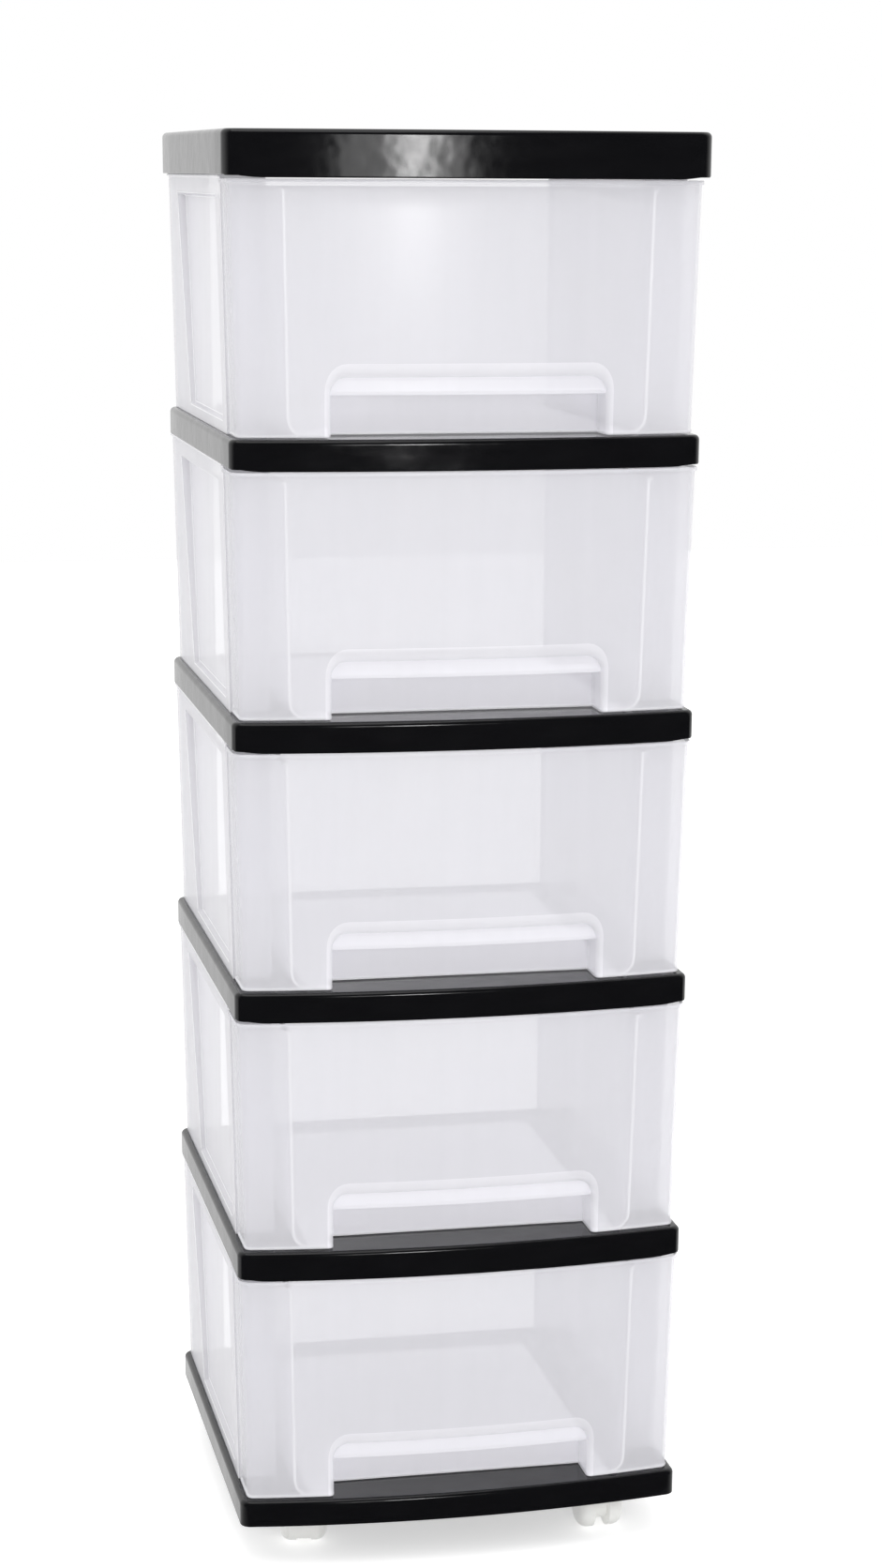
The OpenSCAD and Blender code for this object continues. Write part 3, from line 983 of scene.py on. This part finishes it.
def drawer_front(bm):
    """The wings, the wall above the arch, the roll round it, and the recess."""
    path = arch_path()
    for side in SIDES.values():
        skin(bm, [[at(z, extra) for z, extra in LOW_ROWS] for at in wing(side)])
        skin(bm, [[at(z, extra) for z, extra in upper_rows(SHOULDER_Z)] for at in wing(side)])
    crown = [p for p in path if p[1] > SHOULDER_Z or p[:2] in ((ARCH_W, SHOULDER_Z), (-ARCH_W, SHOULDER_Z))]
    columns = []
    for x, z, way, _ in crown:
        out = roll_out(way)
        rows = upper_rows(z + out * way[1])
        columns.append([on_front(x + out * way[0], height, extra) for height, extra in rows])
    skin(bm, columns)
    rolled = []
    for x, z, way, extra in path:
        reach = [roll_out(way) * share for share, _ in ROLL]
        deep = [(lip_y(x) - on_front(x, z)[1]) * share for _, share in ROLL]
        spots = [on_front(x + r * way[0], z + r * way[1], extra, d) for r, d in zip(reach, deep)]
        rolled.append(spots + [(x, lip_y(x), z)])
    before = len(bm.faces)
    skin(bm, rolled)
    bm.faces.ensure_lookup_table()
    for i, face in enumerate(bm.faces[before:]):
        face.material_index = ROLLED if i % len(ROLL) < BRIGHT_ROLLS else DEEP
    before = len(bm.faces)
    recess(bm, crown)
    bm.faces.ensure_lookup_table()
    for face in bm.faces[before:]:
        # The pocket's lowest faces get the rim mark, a painted white line along its foot; the rest of the
        # recess gets the deep mark's painted glow.
        face.material_index = RIM if face.calc_center_median().z < BEAD[2][0] * MM else DEEP


# %% [markdown]
# ## The finger recess
#
# Behind the arch stands the lip that the fingers pull on, and under it the pocket goes back to a wall. The
# patches use the same points along the arch as the roll does, so that welding leaves no gap between them.

# %% Recess
def recess(bm, crown):
    """The lip, the ledge under it, and the pocket's sides and back."""
    lip = []
    for x, z, _, _ in crown:
        heights = [LIP_Z + (z - LIP_Z) * i / LIP_ROWS for i in range(LIP_ROWS + 1)]
        lip.append([(x, lip_y(x), height) for height in heights])
    skin(bm, lip)
    shares = [0, 0.3, 0.65, 1]

    def toward_back(x, z):
        return [(x, lip_y(x) + (POCKET_Y - lip_y(x)) * s, z) for s in shares]

    skin(bm, [toward_back(x, LIP_Z) for x, _, _, _ in crown])
    low = [z for z, _ in LOW_ROWS if z <= LIP_Z]
    for side in SIDES.values():
        skin(bm, [toward_back(side * ARCH_W, z) for z in low])
    skin(bm, [[(x, POCKET_Y, z) for z in low] for x, _, _, _ in crown])


# %% [markdown]
# ## Drawer boxes
#
# Behind the front sits the box, set in from it on both sides. Its walls lean out to a rim, its foot is
# rounded, and its floor stops at the finger pocket. The walls are swept round three sides, and one flat
# face with a notch closes the floor.

# %% Drawer box
BOX_WALL = 2.0
BOX_TOP = WALL_TOP - 3
BOX_OUT = 20.0
BOX_FOOT = 17.5
FOOT_R = 12.0
JOIN = 0.6
WALL_ROWS = 8


def box_section():
    """(distance out, z), from the foot's round corner up the wall to the rim."""
    turn = [math.radians(a) for a in range(-90, 1, 15)]
    axis = BOX_FOOT - FOOT_R
    foot = [(axis + FOOT_R * math.cos(a), FOOT_GAP + FOOT_R + FOOT_R * math.sin(a)) for a in turn]
    low, high = FOOT_GAP + FOOT_R, BOX_TOP - 2.2
    lean_out, rise = BOX_OUT - BOX_FOOT, high - low
    steps = range(1, WALL_ROWS + 1)
    wall = [(BOX_FOOT + lean_out * i / WALL_ROWS, low + rise * i / WALL_ROWS) for i in steps]
    rim = [(BOX_OUT + 1.6, BOX_TOP - 2.0), (BOX_OUT + 2, BOX_TOP - 1.6), (BOX_OUT + 2, BOX_TOP)]
    return foot + wall + rim


def drawer_box(bm):
    """The box's walls on three sides, and its floor with the notch for the pocket."""
    line = box_line
    section = box_section()
    half = []
    for share in [i / 10 for i in range(11)]:
        row = []
        for out, z in section:
            x = line.x + out
            start = bow_y(x, lean(z)) + FRONT_WALL - JOIN
            row.append((x, start + (line.back - start) * share, z))
        half.append(row)
    corner = arc((line.x, line.back), 0, 0, 90, CORNER_STEPS)
    half += [[placed(station, out, z) for out, z in section] for station in corner[1:]]
    left = [[(-x, y, z) for x, y, z in row] for row in reversed(half)]
    verts = skin(bm, half + left)
    edge = [row[0] for row in verts]
    notch = ARCH_W + FRONT_WALL - JOIN
    back = POCKET_Y + FRONT_WALL - JOIN
    corner_x = line.x + section[0][0]
    spots = [(-x, y) for x, y in floor_front(notch, corner_x)]
    spots += [(-notch, back), (notch, back)] + list(reversed(floor_front(notch, corner_x)))
    front = [bm.verts.new(Vector((x, y, FOOT_GAP)) * MM) for x, y in spots]
    # The floor gets the floor mark: it is denser, painted whiter and given the painted glow.
    bm.faces.new(edge + front).material_index = FLOOR


def floor_front(from_x, to_x):
    """Points where the floor meets the front, from the side toward the notch."""
    xs = [to_x + (from_x - to_x) * i / 4 for i in range(1, 5)]
    return [(x, bow_y(x, LEAN_FOOT) + FRONT_WALL - JOIN) for x in xs]


def drawer_mesh(name):
    front, box = bmesh.new(), bmesh.new()
    drawer_front(front)
    drawer_box(box)
    meshes = [
        treated(to_mesh("front", front), wall=FRONT_WALL, edge=0.45),
        treated(to_mesh("box", box), wall=BOX_WALL, edge=0.4),
    ]
    return finished(merged(name, meshes))


drawer_skin = drawer_mesh("drawer")
for tier in range(1, TIERS + 1):
    piece(f"drawer_moulding_{tier}", drawer_skin, f"drawer_{tier}", f"drawer_{tier}",
          drawer_plastic, floor_z[tier])
print("a drawer has", len(drawer_skin.polygons), "faces")

# %% [markdown]
# ## Casters
#
# The casters' shapes are solids of revolution and extrusions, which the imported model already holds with
# true curves. They keep those meshes and only get their finishes.

# %% Caster finishes
CASTER_FINISH = {
    "caster_stem": steel,
    "caster_axle": steel,
    "caster_hood": hood_plastic,
    "wheel": wheel_plastic,
}
for node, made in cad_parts.items():
    for start, material in CASTER_FINISH.items():
        if node.startswith(start):
            made.data.materials.clear()
            made.data.materials.append(material)
print(len([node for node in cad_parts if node.startswith(tuple(CASTER_FINISH))]), "caster parts")

# %% [markdown]
# ## Studio
#
# The photograph is a packshot on white. Its black fronts stay black, so the room in front of the tower
# was dark apart from a softbox, while the white paper behind and beside it shows in the tower's flanks
# at a grazing angle. The world does the same: it is white for the camera, even for the fill light, and
# in reflections it runs from bright behind the tower to dark in front of it. The floor does so too, or the
# fronts would mirror it. It also glows for the camera, so that it is white except for the shadow.

# %% Light levels
FILL = 1.02
PAPER = 0.92
BRIGHT_PAPER = 0.9
DARK = 0.012
FLOOR_SIZE = 12
FLOOR_GLOW = 0.5
FLOOR_BRIGHT_Y = -0.1
FLOOR_DARK_Y = -0.225
PAPER_BRIGHT_Y = 0.28125
PAPER_DARK_Y = -0.34375


def from_dark_to_bright(y, dark_y, bright_y):
    """0 up to one y, 1 from the other, and even between them."""
    slope = 1 / (bright_y - dark_y)
    return (y * slope + -dark_y * slope).limited()


# %% [markdown]
# ## The floor
#
# A large sheet of white paper. It is an ordinary matt surface for the light that falls on it, and so it
# takes the tower's shadow. Two light-path switches then change what the camera and the reflections see.

# %% Floor
def make_floor():
    """White paper, which reflections see as dark in front of the tower and bright behind."""
    bpy.ops.mesh.primitive_plane_add(size=FLOOR_SIZE)
    floor = bpy.context.object
    floor.name = "floor"
    made = new_finish("floor_paper")
    grain = made.noise(40.0, 3.0)
    plain = made.node("BsdfPrincipled", sockets={
        "Base Color": made.blend(grain, (0.90, 0.90, 0.90, 1), (0.92, 0.92, 0.92, 1)),
        "Roughness": 0.8,
    })
    glow = made.node("Emission", sockets={"Strength": FLOOR_GLOW})
    seen = made.node("LightPath", output="Is Camera Ray")
    mirrored = made.node("LightPath", output="Is Glossy Ray")
    both = made.node("AddShader", sockets={0: plain, 1: glow})
    direct = made.node("MixShader", sockets={0: seen, 1: plain, 2: both})
    behind = made.node("SeparateXYZ", sockets={0: made.place()}, output="Y")
    turned = from_dark_to_bright(behind, FLOOR_DARK_Y, FLOOR_BRIGHT_Y)
    level = DARK + turned * (BRIGHT_PAPER - DARK)
    reflected = made.node("Emission", sockets={"Color": (1, 1, 1, 1), "Strength": level})
    made.surface(made.node("MixShader", sockets={0: mirrored, 1: direct, 2: reflected}))
    floor.data.materials.append(made.owner)


make_floor()
print("the floor is", FLOOR_SIZE, "m wide")


# %% [markdown]
# ## The world
#
# One background does three jobs, told apart by the kind of ray that reaches it. A ring of real white cards
# would do the same and be slower to render, because the plastic would have to find their light by chance.

# %% World
def make_world():
    """White for the camera, an even fill for the surfaces, and bright paper to dark room in reflections."""
    world = bpy.data.worlds.new("studio")
    bpy.context.scene.world = world
    made = Finish(world)
    kinds = ("Camera", "Transmission", "Glossy")
    path = {kind: made.node("LightPath", output=f"Is {kind} Ray") for kind in kinds}
    way = made.node("TexCoord", output="Generated")
    behind = made.node("SeparateXYZ", sockets={0: way}, output="Y")
    paper = from_dark_to_bright(behind, PAPER_DARK_Y, PAPER_BRIGHT_Y)
    mirrored = DARK + paper * (PAPER - DARK)
    white = (path["Camera"] + path["Transmission"]).limited()
    lit = FILL + path["Glossy"] * (mirrored - FILL)
    level = lit + white * (1 - lit)
    back = made.node("Background", sockets={"Color": (1, 1, 1, 1), "Strength": level})
    made.node("OutputWorld", sockets={"Surface": back})


make_world()
print("reflections run from", DARK, "to", PAPER)


# %% [markdown]
# ## Lamps
#
# A tall softbox in front and to the right makes the highlight on the lid, with a wide lamp behind it for
# the soft border and a small one for the bright core. A large lamp stands over the front and adds light
# from above.

# %% Lamps
def lamp(name, at, aim, size, power):
    """A rectangular lamp, in metres and watts."""
    data = bpy.data.lights.new(name, "AREA")
    data.shape = "RECTANGLE"
    data.size, data.size_y = size
    data.energy = power
    made = bpy.data.objects.new(name, data)
    made.location = at
    made.rotation_euler = (Vector(aim) - Vector(at)).to_track_quat("-Z", "Y").to_euler()
    bpy.context.scene.collection.objects.link(made)


# Each lamp's place, the spot it points at, its width and height, and its power.
LAMPS = {
    "softbox": ((0.245, -2.6, 1.0), (0, 0, 0.7), (0.16, 0.5), 3),
    "flash": ((0.235, -2.55, 1.0), (0, 0, 0.7), (0.06, 0.14), 0.3),
    "softbox_halo": ((0.22, -2.7, 1.0), (0, 0, 0.7), (0.62, 0.6), 3),
    "overhead": ((-0.3, -0.6, 2.6), (0, 0, 0.5), (1.6, 1.6), 10),
}

for name, settings in LAMPS.items():
    lamp(name, *settings)
bpy.context.scene.view_settings.view_transform = "Standard"
print(len(LAMPS), "lamps")
